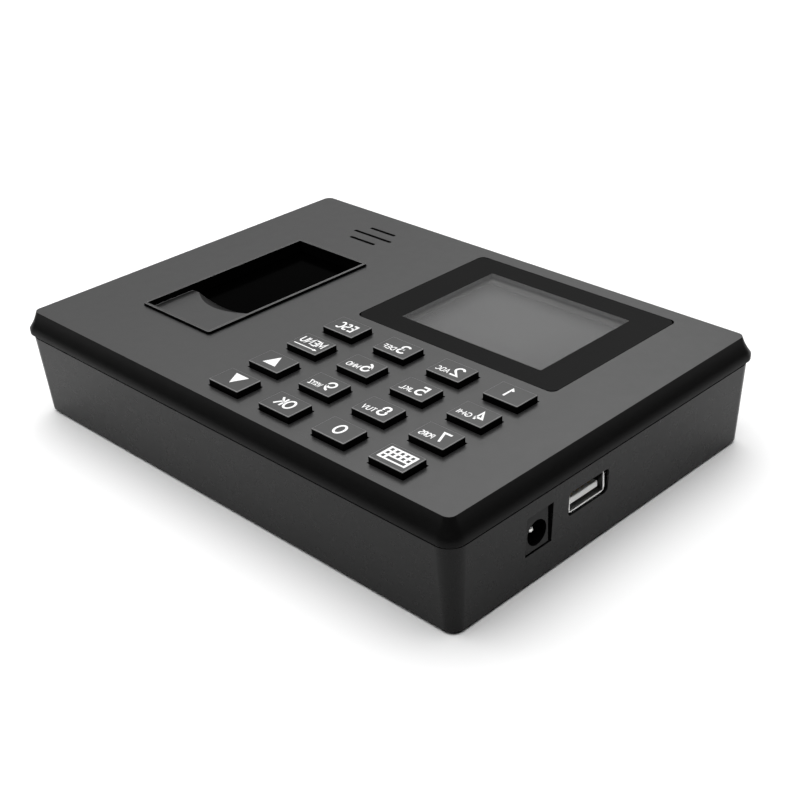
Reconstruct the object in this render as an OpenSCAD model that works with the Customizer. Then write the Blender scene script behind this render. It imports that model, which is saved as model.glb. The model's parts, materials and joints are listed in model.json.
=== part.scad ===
// Fingerprint scanner terminal: a desk unit with a coved top cover, a 4 x 4 keypad, a colour
// display behind a lens, a recessed fingerprint window, a loudspeaker, and power and USB sockets.
// X runs to the socket side, Y from the user to the display edge, Z up. The origin is at the
// middle of the underside, at the level that the rubber feet stand on. Millimetres.

/* [Enclosure] */
// Width of the flat top face, left to right
top_w = 160; // [152:1:230]
// Depth of the flat top face, front to back
top_d = 112.3; // [108:0.5:170]
// Height from the underside of the case to the top face
case_h = 30.9; // [25:0.1:50]
// Corner radius of the top face
corner_r = 2.1; // [1.9:0.1:5]
// How far the coved edge spreads beyond the top face
cove_w = 2.55; // [2.2:0.05:4]
// How far the coved edge drops below the top face
cove_h = 4.8; // [3.5:0.1:6]
// How far the cove's arc bows inwards from a straight bevel
cove_bow = 0.24; // [0.1:0.02:0.4]
// Height of the upright rim band under the cove
rim_h = 1.7; // [1.2:0.1:2.5]
// Bevel under the rim band
rim_bevel = 0.3; // [0.1:0.05:0.6]
// Height of the shadow gap between cover and case
reveal = 0.35; // [0.2:0.05:0.8]
// How far the case is set in from the rim band
case_inset = 0.65; // [0.4:0.05:1]
// How far the case walls lean in from top to underside
case_taper = 1.5; // [0.5:0.1:2]
// Corner radius of the case at its underside
base_corner_r = 3.4; // [2.8:0.1:6]
// Bevel round the case's underside and top edge
case_bevel = 0.35; // [0.1:0.05:0.6]
// Thickness of the cover's top plate
cover_t = 2.2; // [1.8:0.1:3]
// Thickness of the cover's skirt
skirt_t = 2.2; // [1.8:0.1:2.6]
// Thickness of the case walls
case_wall = 2.4; // [2:0.1:3]
// Thickness of the case floor
floor_t = 2.2; // [1.5:0.1:3]
// Height of the locating lip that stands inside the cover's skirt
lip_h = 1.6; // [1:0.1:3]
// Thickness of the locating lip
lip_t = 0.7; // [0.5:0.1:1]

/* [Feet and case screws] */
// How far the rubber feet stand out below the case
foot_proud = 0.6; // [0.4:0.1:3]
// How deep the rubber feet are let into the case floor
foot_inset = 0.9; // [0.5:0.1:1.4]
// Radius of a rubber foot
foot_r = 5; // [3:0.5:8]
// Distance of the feet from the top face's edges, along X
foot_edge_x = 20; // [16:1:40]
// Distance of the feet from the top face's edges, along Y
foot_edge_y = 16; // [14:1:30]
// Distance of the case screws from the top face's edges, along X
screw_edge_x = 8; // [7:0.5:10]
// Distance of the case screws from the top face's edges, along Y
screw_edge_y = 9; // [8:0.5:14]
// Radius of the case screws' shanks
screw_r = 1.45; // [1:0.05:2]
// Radius of the case screws' heads
screw_head_r = 2.75; // [2:0.05:3.2]
// Height of the case screws' heads
screw_head_h = 2; // [1.4:0.1:3]
// Length of the case screws' shanks
screw_len = 15; // [10:1:20]
// Depth of the counterbores for the case screws' heads
counterbore = 6; // [4:0.5:10]

/* [Display] */
// Width of the display lens
lens_w = 69.2; // [66:0.2:90]
// Depth of the display lens, front to back
lens_d = 51.2; // [50:0.2:70]
// Thickness of the display lens
lens_t = 1.2; // [0.8:0.1:2]
// Corner radius of the display lens
lens_r = 1.8; // [0.5:0.1:4]
// Distance from the top face's right edge to the lens
lens_edge_x = 18.45; // [15:0.05:40]
// Distance from the top face's back edge to the lens
lens_edge_y = 4.75; // [3:0.05:20]
// Width of the display's lit area
view_w = 48.96; // [40:0.02:60]
// Depth of the display's lit area
view_d = 36.72; // [30:0.02:45]
// Distance from the lens's right edge to the lit area
view_edge_x = 9.8; // [8:0.1:20]
// Distance from the lens's back edge to the lit area
view_edge_y = 7.4; // [6:0.1:20]
// Depth of the display glass below the top face
lcd_drop = 4.2; // [3.5:0.1:5]
// Thickness of the display glass
lcd_glass_t = 1.3; // [0.8:0.1:1.8]
// Thickness of the display's backlight
lcd_light_t = 1.1; // [0.8:0.1:1.5]
// Margin of the display glass round its lit area, along X
lcd_margin_x = 5; // [3:0.1:7]
// Margin of the display glass round its lit area, along Y
lcd_margin_y = 2.4; // [2:0.1:4]
// Wall of the metal tray that holds the display glass
tray_t = 0.5; // [0.3:0.1:0.8]
// Thickness of the adhesive tape under the lens
tape_t = 0.2; // [0.1:0.05:0.4]
// Width of the adhesive tape
tape_w = 3; // [2:0.1:4]

/* [Keypad] */
// Width of a key
key_w = 11.1; // [9:0.1:14]
// Depth of a key, front to back
key_d = 7.7; // [6:0.1:9]
// How far a key stands above the top face
key_proud = 1.85; // [1:0.05:3]
// Distance between key columns
key_pitch_x = 19.08; // [14:0.02:24]
// Distance between key rows
key_pitch_y = 12.8; // [10:0.1:14]
// Distance from the top face's right edge to the keys
keypad_edge_x = 18.45; // [15:0.05:30]
// Distance from the top face's front edge to the keys
keypad_edge_y = 4.65; // [4:0.05:12]
// Travel of a key
key_travel = 0.8; // [0.3:0.1:1.2]
// Gap between a key and its hole
key_gap = 0.25; // [0.15:0.05:0.5]
// Width of the stop flange round the foot of a key
key_flange = 0.75; // [0.5:0.05:1]
// Thickness of the stop flange
key_flange_t = 0.8; // [0.5:0.1:1]
// Height of the rubber domes above the rubber sheet
dome_h = 3.2; // [2:0.1:4]
// Thickness of the rubber sheet that carries the domes
sheet_t = 1; // [0.6:0.1:1.5]

/* [Fingerprint window] */
// Width of the fingerprint bezel
bay_w = 29.5; // [26:0.1:40]
// Depth of the fingerprint bezel, front to back
bay_d = 58.8; // [50:0.1:64]
// Distance from the top face's left edge to the bezel
bay_edge_x = 21.15; // [18:0.05:40]
// Distance from the top face's front edge to the bezel
bay_edge_y = 22.3; // [20:0.05:30]
// Width of the bezel's rim
bay_rim_t = 0.9; // [0.7:0.05:1.5]
// How far the rim stands above the top face
bay_rim_proud = 0.8; // [0.3:0.05:2]
// Depth of the finger shelf below the top face
shelf_drop = 1.1; // [0.5:0.1:1.3]
// Length of the finger shelf from the rim's inner face
shelf_len = 15.8; // [10:0.1:20]
// Depth of the scanning glass below the finger shelf
glass_drop = 1.5; // [1:0.1:2]
// Thickness of the scanning glass
glass_t = 1.5; // [1:0.1:2]
// Width of the finger scoop in the shelf's edge
scoop_w = 22; // [14:0.5:24]
// How far the finger scoop reaches forwards into the shelf
scoop_reach = 3.7; // [2:0.1:6]
// Depth of the optical module under the scanning glass
optics_h = 15; // [10:0.5:17]

/* [Loudspeaker] */
// Distance from the top face's left edge to the loudspeaker's centre
speaker_edge_x = 35.6; // [30:0.1:50]
// Distance from the top face's back edge to the loudspeaker's centre
speaker_edge_y = 14.45; // [14:0.05:20]
// Radius of the loudspeaker
speaker_r = 10; // [9.5:0.5:11]
// Height of the loudspeaker's basket
speaker_h = 3; // [2:0.1:5]
// Length of the middle sound slot
slot_long = 16; // [10:0.5:18]
// Length of the two outer sound slots
slot_short = 10.7; // [6:0.1:14]
// Width of a sound slot
slot_w = 1.1; // [0.8:0.1:1.6]
// Distance between the sound slots
slot_pitch = 4.4; // [3:0.1:6]

/* [Sockets] */
// Distance from the top face's front edge to the power socket's centre
dc_edge_y = 27.2; // [22:0.1:32]
// Width of the power socket's body
dc_w = 8; // [7.5:0.1:10]
// Length of the power socket's body
dc_len = 14; // [12:0.1:16]
// Height of the power socket's body
dc_h = 10.2; // [9:0.1:11]
// Height from the foot of the power socket's body to its hole's centre
dc_axis_h = 4.35; // [4:0.05:6]
// Radius of the power socket's hole
dc_bore_r = 3.3; // [3:0.05:3.4]
// Depth of the power socket's hole
dc_bore_len = 9.8; // [9:0.1:11]
// Radius of the power socket's centre pin
dc_pin_r = 1; // [0.8:0.05:1.3]
// How far the tip of the centre pin is set back in the hole
dc_pin_back = 1.4; // [0.5:0.1:3]
// Distance from the top face's front edge to the USB socket's centre
usb_edge_y = 45.65; // [42:0.05:60]
// Height of the USB shell above its centre to the board that it hangs from
usb_drop = 3.88; // [3.7:0.02:5]
// Width of the space inside the USB shell
usb_in_w = 12.5; // [12.4:0.05:12.6]
// Height of the space inside the USB shell
usb_in_h = 5.12; // [5:0.02:5.2]
// Thickness of the USB shell's sheet metal
usb_sheet = 0.3; // [0.2:0.05:0.4]
// Length of the USB shell
usb_len = 13.5; // [12:0.5:16]
// Width of the flared lip round the USB shell's mouth
usb_flare = 0.4; // [0.2:0.05:0.5]
// How far the USB shell is set back from the case wall
usb_back = 0.7; // [0.5:0.05:2]
// Width of the USB socket's opening in the case wall
usb_hole_w = 14.85; // [14.5:0.05:16]
// Height of the USB socket's opening in the case wall
usb_hole_h = 6.75; // [6.6:0.05:8]
// Corner radius of the USB socket's opening
usb_hole_r = 1.1; // [0.4:0.1:2]

/* [Circuit board] */
// Depth of the board's upper face below the top face
board_drop = 9.6; // [9:0.1:12]
// Thickness of the board
board_t = 1.6; // [1:0.1:2]
// Gap between the board's edge and what stands round it
board_gap = 1.2; // [0.8:0.1:3]
// Radius of the posts that hang from the cover and carry the board
post_r = 2.3; // [2:0.1:3]
// Radius of the board screws' shanks
board_screw_r = 1; // [0.8:0.05:1.3]
// Radius of the board screws' heads
board_screw_head_r = 1.9; // [1.5:0.05:2.2]

/* [Hidden] */
KEYS = [
    ["key_ime", 3, 0], ["key_0", 2, 0], ["key_ok", 1, 0], ["key_down", 0, 0],
    ["key_7", 3, 1], ["key_8", 2, 1], ["key_9", 1, 1], ["key_up", 0, 1],
    ["key_4", 3, 2], ["key_5", 2, 2], ["key_6", 1, 2], ["key_menu", 0, 2],
    ["key_1", 3, 3], ["key_2", 2, 3], ["key_3", 1, 3], ["key_esc", 0, 3]
];

key_cols = 4;
key_rows = 4;
fit = 0.15;
eps = 0.01;
over = 1;
$fn = 64;

// Levels
z_case = foot_proud;
z_top = z_case + case_h;
z_under = z_top - cover_t;
z_cover = z_top - cove_h - rim_h;
z_part = z_cover - reveal;
z_floor = z_case + floor_t;
board_z1 = z_top - board_drop;
board_z0 = board_z1 - board_t;

// Top face edges
right = top_w / 2;
left = -top_w / 2;
back = top_d / 2;
front = -top_d / 2;

// Cover outline: radii are measured from the corner centres
cover_cx = right - corner_r;
cover_cy = back - corner_r;
cove_chord = sqrt(cove_w * cove_w + cove_h * cove_h);
cove_r = cove_chord * cove_chord / (8 * cove_bow) + cove_bow / 2;
skirt_r = corner_r + cove_w - skirt_t;
roof_r = skirt_r - cove_w / 2;

// Case outline
case_top_out = cove_w - case_inset;
case_base_out = case_top_out - case_taper;
case_cx = right + case_base_out - base_corner_r;
case_cy = back + case_base_out - base_corner_r;
case_top_r = base_corner_r + case_taper;
case_slope = case_taper / (z_part - z_case);
function case_wall_x(z) = right + case_base_out + case_slope * (z - z_case);

// Lip and ledge of the case, inside and under the cover's skirt
lip_out_r = skirt_r + cover_cx - case_cx - fit;
lip_in_r = lip_out_r - lip_t;
lip_root = 2;
ledge_w = 0.7;

// Fasteners: the case's bosses meet the cover's at boss_z1
boss_r = 4.4;
cover_boss_r = 3.4;
boss_len = 9.5;
boss_z1 = z_case + counterbore + boss_len;
boss_x = right - screw_edge_x;
boss_y = back - screw_edge_y;
head_gap = 0.3;
shank_gap = 0.25;
pilot_gap = 0.05;
board_screw_head_h = 1.4;
foot_gap = 0.1;
foot_draft = 0.5;

// Display
lens_x1 = right - lens_edge_x;
lens_x0 = lens_x1 - lens_w;
lens_y1 = back - lens_edge_y;
lens_y0 = lens_y1 - lens_d;
lens_z0 = z_top - lens_t;
view_x1 = lens_x1 - view_edge_x;
view_x0 = view_x1 - view_w;
view_y1 = lens_y1 - view_edge_y;
view_y0 = view_y1 - view_d;
view_cx = (view_x0 + view_x1) / 2;
view_cy = (view_y0 + view_y1) / 2;
lcd_w = view_w + 2 * lcd_margin_x;
lcd_d = view_d + 2 * lcd_margin_y;
lcd_z1 = z_top - lcd_drop;
lcd_z0 = lcd_z1 - lcd_glass_t;
light_z0 = lcd_z0 - lcd_light_t;
tray_z0 = light_z0 - tray_t;
lens_hole_w = lcd_w + 2 * fit;
lens_hole_d = lcd_d + 2 * fit;
flex_w = 22;
flex_t = 0.25;
socket_y1 = view_cy - lcd_d / 2 - 2.2;
socket_d = 3.4;
socket_h = 1.6;

// Keypad
keypad_x1 = right - keypad_edge_x;
keypad_x0 = keypad_x1 - (key_cols - 1) * key_pitch_x - key_w;
keypad_y0 = front + keypad_edge_y;
keypad_y1 = keypad_y0 + (key_rows - 1) * key_pitch_y + key_d;
key_z1 = z_top + key_proud;
flange_z0 = z_under - key_flange_t;
dome_z1 = board_z1 + sheet_t + dome_h;
function key_x(col) = keypad_x0 + key_w / 2 + col * key_pitch_x;
function key_y(row) = keypad_y0 + key_d / 2 + row * key_pitch_y;

// Fingerprint window
bay_x0 = left + bay_edge_x;
bay_x1 = bay_x0 + bay_w;
bay_y0 = front + bay_edge_y;
bay_y1 = bay_y0 + bay_d;
bay_cx = (bay_x0 + bay_x1) / 2;
bay_cy = (bay_y0 + bay_y1) / 2;
bay_in_w = bay_w - 2 * bay_rim_t;
bay_in_d = bay_d - 2 * bay_rim_t;
bay_z1 = z_top + bay_rim_proud;
shelf_z = z_top - shelf_drop;
shelf_y1 = bay_y0 + bay_rim_t + shelf_len;
glass_z1 = shelf_z - glass_drop;
glass_z0 = glass_z1 - glass_t;
bay_r = 0.8;
bay_flange = 1.6;
bay_flange_t = 1.2;
plate_t = 1.4;
plate_z0 = glass_z0 - plate_t;
plate_w = bay_w + 13;
plate_d = bay_d + 2 * bay_flange;
optics_w = 24;
optics_d = 34;
optics_cy = (shelf_y1 + bay_y1 - bay_rim_t) / 2;
optics_z0 = plate_z0 - optics_h;
sensor_post_x = plate_w / 2 - 2.6;
sensor_post_y = plate_d / 2 - 6;
sensor_post_r = 2.2;
sensor_screw_len = plate_t + 2.6;
sensor_board_t = 1.2;

// Loudspeaker
speaker_x = left + speaker_edge_x;
speaker_y = back - speaker_edge_y;
mesh_t = 0.3;
speaker_z1 = z_under - mesh_t;
speaker_z0 = speaker_z1 - speaker_h;
magnet_h = 2.6;
pole_r = 3;
basket_t = 0.8;
ring_t = 1.2;
ring_under = 0.6;

// Circuit board
works_x0 = min(lens_x0, keypad_x0);
works_x1 = max(lens_x1, keypad_x1);
post_out = key_flange + post_r + 0.25;
board_x0 = works_x0 - post_out - post_r;
board_x1 = works_x1 + post_out + post_r;
board_y0 = front + 3;
board_y1 = back - 3.5;
tab_x1 = case_wall_x(board_z0) - case_wall - board_gap;
board_cx = (board_x0 + board_x1) / 2;
tab_margin = 2.5;
header_w = 8;
header_d = 4.6;
header_h = 4.2;
header_x = board_x0 + 5;
header_places = [lens_y0 - 8, speaker_y - 8];
lead_r = 0.45;
lead_end = 2.5;
// the leads are eight-sided, so their flats lie inside the radius
lead_reach = lead_r * cos(180 / 8);
cell_r = 10;
cell_h = 3.2;
cell_roof = 1;
cell_x = board_cx - 8;
cell_y = (keypad_y0 + keypad_y1) / 2;

// Sockets
socket_cut = 4;
dc_y = front + dc_edge_y;
dc_z0 = board_z0 - dc_h;
dc_z = dc_z0 + dc_axis_h;
dc_x1 = case_wall_x(dc_z0);
dc_floor_x = dc_x1 - dc_bore_len;
dc_hole_side = 1.2;
dc_hole_under = 0.65;
dc_gap = 0.1;
pin_root = 2;
pin_root_r = dc_pin_r * 0.7;
leaf_w = 1.6;
leaf_t = 0.3;
leaf_back = 3;
leaf_z1 = dc_z + dc_bore_r + 0.7;
usb_y = front + usb_edge_y;
usb_z = board_z0 - usb_drop;
usb_x1 = case_wall_x(usb_z) - usb_back;
usb_x0 = usb_x1 - usb_len;
usb_out_w = usb_in_w + 2 * usb_sheet;
usb_out_h = usb_in_h + 2 * usb_sheet;
tongue_t = 1.84;
tongue_w = 11.1;
tongue_gap = 0.75;
tongue_back = 1;
tongue_z0 = usb_z - usb_in_h / 2 + tongue_gap;
usb_block_x = usb_x0 + 3.5;

// Places of what repeats
boss_places = [for (sx = [-1, 1], sy = [-1, 1]) [sx * boss_x, sy * boss_y]];
foot_places = [for (sx = [-1, 1], sy = [-1, 1])
    [sx * (right - foot_edge_x), sy * (back - foot_edge_y)]];
post_places = [
    for (x = [works_x0 - post_out, works_x1 + post_out])
    for (y = [keypad_y0 + 2.5, lens_y0 + 5, lens_y1 - 1.5]) [x, y]
];
sensor_post_places = [for (sx = [-1, 1], sy = [-1, 1])
    [bay_cx + sx * sensor_post_x, bay_cy + sy * sensor_post_y]];

// ---- Shared shapes ----

// A block between two corners
module block(p0, p1) {
    translate(p0) cube(p1 - p0);
}

// An upright block with round corners, between two corners
module round_block(p0, p1, r) {
    size = p1 - p0;
    translate(p0) union() {
        translate([r, 0, 0]) cube([size[0] - 2 * r, size[1], size[2]]);
        translate([0, r, 0]) cube([size[0], size[1] - 2 * r, size[2]]);
        for (x = [r, size[0] - r], y = [r, size[1] - r])
            translate([x, y, 0]) cylinder(r = r, h = size[2]);
    }
}

// A round-cornered block whose side profile is a child: X is the distance outwards from the
// corner centres at (cx, cy), and Y is the height
module profile_block(cx, cy) {
    for (turn = [0, 180]) {
        rotate([90, 0, turn]) translate([cx, 0, -cy])
            linear_extrude(height = 2 * cy) children();
        rotate([90, 0, turn + 90]) translate([cy, 0, -cx])
            linear_extrude(height = 2 * cx) children();
    }
    for (sx = [-1, 1], sy = [-1, 1])
        translate([sx * cx, sy * cy, 0]) rotate_extrude() children();
}

// A flat strip: a path in the plane across its width, thickened downwards and extruded
module strip(path, t, w) {
    n = len(path);
    lower = [for (i = [n - 1:-1:0]) path[i] - strip_side(path, i) * t];
    translate([0, -w / 2, 0]) rotate([90, 0, 0]) mirror([0, 0, 1])
        linear_extrude(height = w) polygon(concat(path, lower));
}
function unit(v) = v / norm(v);
function turned(v) = [-v[1], v[0]];
function strip_side(path, i) =
    let (n = len(path))
    let (a = turned(unit(path[min(i + 1, n - 1)] - path[min(i, n - 2)])))
    let (b = turned(unit(path[max(i, 1)] - path[max(i - 1, 0)])))
    (a + b) / (1 + a * b);

// A round wire along a path
module wire(path, r) {
    for (i = [0:len(path) - 2]) hull() {
        translate(path[i]) sphere(r = r, $fn = 8);
        translate(path[i + 1]) sphere(r = r, $fn = 8);
    }
}

// A small pan-head screw that points up, its head's underside at the origin
module pan_screw(shank_r, head_r, head_h, length) {
    cross_w = head_r * 0.32;
    cross_l = head_r * 1.2;
    difference() {
        union() {
            cylinder(r = shank_r, h = length - shank_r);
            translate([0, 0, length - shank_r]) cylinder(r1 = shank_r, r2 = shank_r / 3, h = shank_r);
            translate([0, 0, -head_h * 0.6]) cylinder(r = head_r, h = head_h * 0.6);
            translate([0, 0, -head_h]) cylinder(r1 = head_r * 0.75, r2 = head_r, h = head_h * 0.4);
        }
        for (turn = [0, 90]) rotate([0, 0, turn])
            translate([-cross_l / 2, -cross_w / 2, -head_h - eps]) cube([cross_l, cross_w, head_h * 0.6]);
    }
}

// ---- Enclosure ----

// Side profile of the cover's outside
module cover_profile() {
    rim_r = corner_r + cove_w;
    mid = [corner_r + cove_w / 2, z_top - cove_h / 2];
    out = [cove_h, cove_w] / cove_chord;
    difference() {
        polygon([
            [0, z_cover], [rim_r - rim_bevel, z_cover], [rim_r, z_cover + rim_bevel],
            [rim_r, z_top - cove_h], [corner_r, z_top], [0, z_top]
        ]);
        translate(mid + out * (cove_r - cove_bow)) circle(r = cove_r, $fn = 720);
    }
}

// Side profile of the hollow under the cover
module roof_profile() {
    polygon([
        [0, z_cover - over], [skirt_r, z_cover - over], [skirt_r, z_top - cove_h],
        [roof_r, z_under], [0, z_under]
    ]);
}

module cover_shell() {
    difference() {
        union() {
            profile_block(cover_cx, cover_cy) cover_profile();
            block([-cover_cx, -cover_cy, z_cover], [cover_cx, cover_cy, z_top]);
        }
        profile_block(cover_cx, cover_cy) roof_profile();
        block([-cover_cx, -cover_cy, z_cover - over], [cover_cx, cover_cy, z_under]);
    }
}

// The posts and rings that hang under the cover's top plate
module cover_posts() {
    overlap = 0.5;
    for (p = boss_places) translate([p[0], p[1], boss_z1])
        cylinder(r = cover_boss_r, h = z_under + overlap - boss_z1);
    for (p = post_places) translate([p[0], p[1], board_z1])
        cylinder(r = post_r, h = z_under + overlap - board_z1);
    for (p = sensor_post_places) translate([p[0], p[1], glass_z0])
        cylinder(r = sensor_post_r, h = z_under + overlap - glass_z0);
    translate([speaker_x, speaker_y, speaker_z0 - ring_under]) difference() {
        cylinder(r = speaker_r + fit + ring_t, h = z_under + overlap - speaker_z0 + ring_under);
        translate([0, 0, -over])
            cylinder(r = speaker_r + fit, h = z_under - speaker_z0 + ring_under + over);
    }
}

module top_cover() {
    color("#3a3a3c") difference() {
        union() {
            cover_shell();
            cover_posts();
        }
        // lens pocket and the opening under it
        round_block([lens_x0 - fit, lens_y0 - fit, lens_z0 - tape_t],
            [lens_x1 + fit, lens_y1 + fit, z_top + over], lens_r + fit);
        block([view_cx - lens_hole_w / 2, view_cy - lens_hole_d / 2, z_under - over],
            [view_cx + lens_hole_w / 2, view_cy + lens_hole_d / 2, z_top]);
        // key holes
        for (k = KEYS) translate([key_x(k[1]), key_y(k[2]), (z_under + z_top) / 2])
            cube([key_w + 2 * key_gap, key_d + 2 * key_gap, cover_t + over], center = true);
        // fingerprint bezel
        round_block([bay_x0 - fit, bay_y0 - fit, z_under - over],
            [bay_x1 + fit, bay_y1 + fit, z_top + over], bay_r + fit);
        // sound slots
        for (i = [-1:1]) sound_slot(i * slot_pitch, i == 0 ? slot_long : slot_short);
        // pilot holes
        for (p = boss_places) translate([p[0], p[1], 0])
            cylinder(r = screw_r + pilot_gap, h = z_under);
        for (p = post_places) translate([p[0], p[1], 0])
            cylinder(r = board_screw_r + pilot_gap, h = z_under);
        for (p = sensor_post_places) translate([p[0], p[1], 0])
            cylinder(r = board_screw_r + pilot_gap, h = plate_z0 + sensor_screw_len + eps);
    }
}

// One sound slot with round ends
module sound_slot(y, length) {
    run = length - slot_w;
    translate([speaker_x, speaker_y + y, z_under - over]) {
        translate([-run / 2, -slot_w / 2, 0]) cube([run, slot_w, cover_t + 2 * over]);
        for (x = [-run / 2, run / 2]) translate([x, 0, 0])
            cylinder(r = slot_w / 2, h = cover_t + 2 * over);
    }
}

// Side profile of the case's outside
module case_profile() {
    polygon([
        [0, z_case], [base_corner_r - case_bevel, z_case], [base_corner_r, z_case + case_bevel],
        [case_top_r, z_part - case_bevel], [case_top_r - case_bevel, z_part],
        [lip_out_r + ledge_w, z_part], [lip_out_r + ledge_w, z_cover], [lip_out_r, z_cover],
        [lip_out_r, z_cover + lip_h], [0, z_cover + lip_h]
    ]);
}

// Side profile of the space inside the case
module case_hollow_profile() {
    z1 = z_cover + lip_h + over;
    polygon([
        [0, z_floor], [base_corner_r - case_wall, z_floor], [lip_in_r, z_part - lip_root],
        [lip_in_r, z1], [0, z1]
    ]);
}

module bottom_case() {
    z1 = z_cover + lip_h;
    color("#232325") difference() {
        union() {
            difference() {
                union() {
                    profile_block(case_cx, case_cy) case_profile();
                    block([-case_cx, -case_cy, z_case], [case_cx, case_cy, z1]);
                }
                profile_block(case_cx, case_cy) case_hollow_profile();
                block([-case_cx, -case_cy, z_floor], [case_cx, case_cy, z1 + over]);
            }
            for (p = boss_places) translate([p[0], p[1], z_floor - floor_t / 2])
                cylinder(r = boss_r, h = boss_z1 - z_floor + floor_t / 2);
        }
        for (p = boss_places) translate([p[0], p[1], 0]) {
            cylinder(r = screw_head_r + head_gap, h = z_case + counterbore);
            cylinder(r = screw_r + shank_gap, h = boss_z1 + over);
        }
        for (p = foot_places) translate([p[0], p[1], 0])
            cylinder(r = foot_r + foot_gap, h = z_case + foot_inset);
        dc_opening();
        usb_opening();
    }
}

// The power socket's opening: a close fit in front and above, and a gap behind and below
module dc_opening() {
    block([right - socket_cut, dc_y - dc_w / 2 - dc_gap, dc_z0 - dc_hole_under],
        [right + socket_cut, dc_y + dc_w / 2 + dc_hole_side, board_z0 + dc_gap]);
}

// The USB socket's opening, with round corners
module usb_opening() {
    w = usb_hole_w;
    h = usb_hole_h;
    r = usb_hole_r;
    translate([right - socket_cut, usb_y, usb_z]) rotate([90, 0, 90]) translate([-w / 2, -h / 2, 0])
        round_block([0, 0, 0], [w, h, 2 * socket_cut], r);
}

module rubber_feet() {
    color("#1a1a1a") for (p = foot_places) translate([p[0], p[1], 0]) {
        cylinder(r1 = foot_r - foot_draft, r2 = foot_r, h = foot_proud);
        translate([0, 0, foot_proud]) cylinder(r = foot_r, h = foot_inset);
    }
}

module case_screws() {
    color("#6b6b6b") for (p = boss_places) translate([p[0], p[1], z_case + counterbore])
        pan_screw(screw_r, screw_head_r, screw_head_h, screw_len);
}

// ---- Display ----

module display_lens() {
    color("#1c1c1e") round_block([lens_x0, lens_y0, lens_z0], [lens_x1, lens_y1, z_top], lens_r);
}

module lens_tape() {
    x0 = view_cx - lens_hole_w / 2;
    x1 = view_cx + lens_hole_w / 2;
    y0 = view_cy - lens_hole_d / 2;
    y1 = view_cy + lens_hole_d / 2;
    color("#111111") difference() {
        block([max(lens_x0, x0 - tape_w), max(lens_y0, y0 - tape_w), lens_z0 - tape_t],
            [min(lens_x1, x1 + tape_w), min(lens_y1, y1 + tape_w), lens_z0]);
        block([x0, y0, lens_z0 - over], [x1, y1, lens_z0 + over]);
    }
}

module lcd_gasket() {
    inner_w = view_w + 4;
    inner_d = view_d + 2;
    color("#2b2b2b") translate([view_cx, view_cy, (lcd_z1 + lens_z0) / 2]) difference() {
        cube([lcd_w, lcd_d, lens_z0 - lcd_z1], center = true);
        cube([inner_w, inner_d, lens_z0 - lcd_z1 + over], center = true);
    }
}

module lcd_layer(z0, z1) {
    block([view_cx - lcd_w / 2, view_cy - lcd_d / 2, z0], [view_cx + lcd_w / 2, view_cy + lcd_d / 2, z1]);
}

module lcd_panel() {
    color("#5b5e62") lcd_layer(lcd_z0, lcd_z1);
}

module lcd_backlight() {
    color("white") lcd_layer(light_z0, lcd_z0);
}

module lcd_tray() {
    w = lcd_w + 2 * tray_t;
    d = lcd_d + 2 * tray_t;
    grip = 0.6;
    mouth_w = flex_w + 2;
    color("silver") difference() {
        block([view_cx - w / 2, view_cy - d / 2, tray_z0], [view_cx + w / 2, view_cy + d / 2, lcd_z0 + grip]);
        lcd_layer(light_z0, lcd_z1);
        // the mouth that the ribbon leaves by
        block([view_cx - mouth_w / 2, view_cy - d, light_z0 - over],
            [view_cx + mouth_w / 2, view_cy, lcd_z1]);
    }
}

module lcd_holder() {
    w = lcd_w + 2 * tray_t;
    d = lcd_d + 2 * tray_t;
    side_rib = 3;
    end_rib = 4;
    h = tray_z0 - board_z1;
    color("#e8e8e4") translate([view_cx, view_cy, board_z1 + h / 2]) difference() {
        cube([w, d, h], center = true);
        for (sx = [-1, 1]) translate([sx * w / 4, 0, 0])
            cube([w / 2 - 2 * side_rib, d - 2 * end_rib, h + over], center = true);
    }
}

// The ribbon leaves the display glass's front edge and bends down into its socket
module lcd_flex() {
    y_edge = view_cy - lcd_d / 2;
    z_edge = light_z0 + lcd_light_t / 2 + flex_t / 2;
    z_foot = board_z1 + socket_h / 2;
    straight = 0.9;
    path = [
        [socket_y1 + flex_t, z_foot], [socket_y1 + straight, z_foot],
        [y_edge - straight, z_edge], [y_edge, z_edge]
    ];
    color("#b8762a") translate([view_cx, 0, 0]) rotate([0, 0, 90]) strip(path, flex_t, flex_w);
}

module flex_socket() {
    w = flex_w + 4;
    color("#ddd8c8") block([view_cx - w / 2, socket_y1 - socket_d, board_z1],
        [view_cx + w / 2, socket_y1, board_z1 + socket_h]);
}

// ---- Keypad ----

module key_cap(col, row) {
    stem_w = 4.4;
    flange = 2 * (key_flange + key_gap);
    color("#3c3c3f") translate([key_x(col), key_y(row), 0]) {
        translate([-key_w / 2, -key_d / 2, flange_z0]) cube([key_w, key_d, key_z1 - flange_z0]);
        translate([-(key_w + flange) / 2, -(key_d + flange) / 2, flange_z0])
            cube([key_w + flange, key_d + flange, key_flange_t]);
        translate([-stem_w / 2, -stem_w / 2, dome_z1]) cube([stem_w, stem_w, flange_z0 - dome_z1]);
    }
}

module keypad_membrane() {
    x0 = keypad_x0 - key_flange;
    x1 = keypad_x1 + key_flange;
    y0 = keypad_y0 - key_flange;
    y1 = keypad_y1 + key_flange;
    foot = 3.7;
    crown = 2.8;
    web = 0.7;
    pad = 2.6;
    pad_h = 1;
    pad_t = 1.5;
    color("#c9c9c4") difference() {
        union() {
            block([x0, y0, board_z1], [x1, y1, board_z1 + sheet_t]);
            for (k = KEYS) translate([key_x(k[1]), key_y(k[2]), board_z1]) {
                cylinder(r1 = foot, r2 = crown, h = sheet_t + dome_h - pad_h);
                cylinder(r = pad, h = sheet_t + dome_h);
            }
        }
        for (k = KEYS) translate([key_x(k[1]), key_y(k[2]), board_z1 - eps])
            cylinder(r1 = foot - web, r2 = crown - web, h = sheet_t + dome_h - pad_t);
    }
}

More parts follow.
